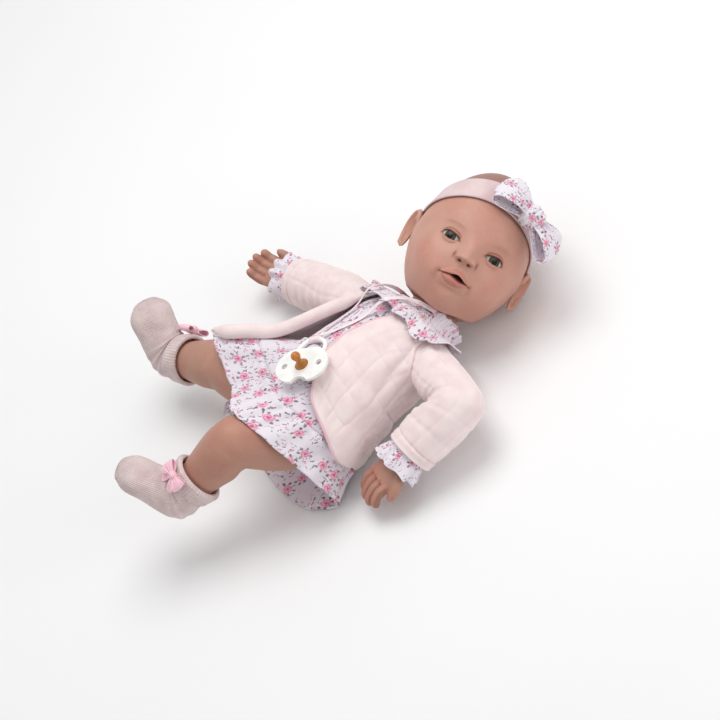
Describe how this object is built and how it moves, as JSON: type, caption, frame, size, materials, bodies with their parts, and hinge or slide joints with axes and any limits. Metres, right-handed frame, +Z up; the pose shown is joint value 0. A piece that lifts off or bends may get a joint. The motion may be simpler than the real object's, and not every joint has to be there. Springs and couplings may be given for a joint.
{
  "type": "interactive baby doll",
  "caption": "Soft-bodied baby doll with vinyl head and limbs, dress, quilted jacket, socks, headband, a magnetic dummy on a ribbon and a sound unit in its body.",
  "frame": {"origin": "on the surface that the doll lies on, under the middle of its back at the flat of the jacket", "axes": "+X to the doll's left, +Y to its head, +Z up, away from the surface and out of its front"},
  "size_m": [0.3169, 0.3896, 0.1188],
  "materials": {
    "skin": "soft vinyl, matte, warm peach-tan with blush",
    "floral_cotton": null,
    "quilt": "very pale pink puckered quilting with a pink piped edge",
    "knit": "fine knit",
    "satin": "narrow satin ribbon",
    "body_cloth": "stuffed cotton cloth body",
    "eye": "glossy eye with grey-green iris",
    "white_plastic": "glossy moulded",
    "teat_rubber": "amber latex",
    "steel": "plated",
    "grey_plastic": "fine moulded texture",
    "board": "solder-masked board",
    "button_plastic": "moulded",
    "dome_rubber": "silicone"
  },
  "bodies": {
    "root": {"torso": "body_cloth", "neck_tie": "body_cloth", "arm_tie_left": "body_cloth", "arm_tie_right": "body_cloth", "leg_tie_left": "body_cloth", "leg_tie_right": "body_cloth", "bloomers": "floral_cotton", "dress_bodice": "floral_cotton", "dress_skirt": "floral_cotton", "collar_ruffle": "floral_cotton", "jacket_body": "quilt", "pacifier_ring": "white_plastic", "pacifier_ribbon": "satin", "ribbon_knot": "satin", "sound_case_front": "grey_plastic", "sound_case_rear": "grey_plastic", "speaker": "grey_plastic", "circuit_board": "board", "battery_cells": "steel", "battery_contacts": "steel", "battery_door": "grey_plastic", "case_screws": "steel", "button_dome": "dome_rubber"},
    "head": {"head": "skin", "neck_plug": "skin", "eye_left": "eye", "eye_right": "eye", "mouth_sensor": "grey_plastic", "headband": "knit", "hair_bow": "floral_cotton"},
    "left_arm": {"arm_left": "skin", "sleeve_left": "quilt", "cuff_ruffle_left": "floral_cotton"},
    "right_arm": {"arm_right": "skin", "sleeve_right": "quilt", "cuff_ruffle_right": "floral_cotton"},
    "left_leg": {"leg_left": "skin", "sock_left": "knit", "sock_bow_left": "satin"},
    "right_leg": {"leg_right": "skin", "sock_right": "knit", "sock_bow_right": "satin"},
    "pacifier": {"pacifier_shield": "white_plastic", "pacifier_knob": "white_plastic", "pacifier_magnet": "steel", "pacifier_teat": "teat_rubber"},
    "button": {"squeeze_button": "button_plastic"},
    "switch": {"power_switch": "grey_plastic"}
  },
  "joints": [
    {"name": "head_turn", "type": "hinge", "parent": "root", "child": "head", "pos_m": [0, 0.068, 0.0344], "axis": [-0.1391, 0.9512, 0.2754], "range_deg": [-60, 20]},
    {"name": "left_arm_turn", "type": "hinge", "parent": "root", "child": "left_arm", "pos_m": [0.034, 0.04, 0.03991], "axis": [0.9792, -0.1903, 0.0698], "range_deg": [-80, 4]},
    {"name": "right_arm_turn", "type": "hinge", "parent": "root", "child": "right_arm", "pos_m": [-0.034, 0.04, 0.03991], "axis": [-0.9776, -0.0341, -0.2079], "range_deg": [-5, 80]},
    {"name": "left_leg_turn", "type": "hinge", "parent": "root", "child": "left_leg", "pos_m": [0.029, -0.057, 0.04388], "axis": [-0.3104, -0.8085, 0.5], "range_deg": [-40, 40]},
    {"name": "right_leg_turn", "type": "hinge", "parent": "root", "child": "right_leg", "pos_m": [-0.029, -0.057, 0.04388], "axis": [-0.9631, -0.2401, 0.1219], "range_deg": [-40, 40]},
    {"name": "pacifier_lift", "type": "hinge", "parent": "root", "child": "pacifier", "pos_m": [0.00512, -0.03088, 0.0929], "axis": [-0.7193, -0.6947, 0], "range_deg": [0, 30]},
    {"name": "button_press", "type": "slide", "parent": "root", "child": "button", "axis": [0, 0, -1], "range_m": [0, 0.002], "stiffness_N_per_m": 600, "springref_m": -0.0005},
    {"name": "switch_slide", "type": "slide", "parent": "root", "child": "switch", "axis": [0, 1, 0], "range_m": [0, 0.0025]}
  ]
}
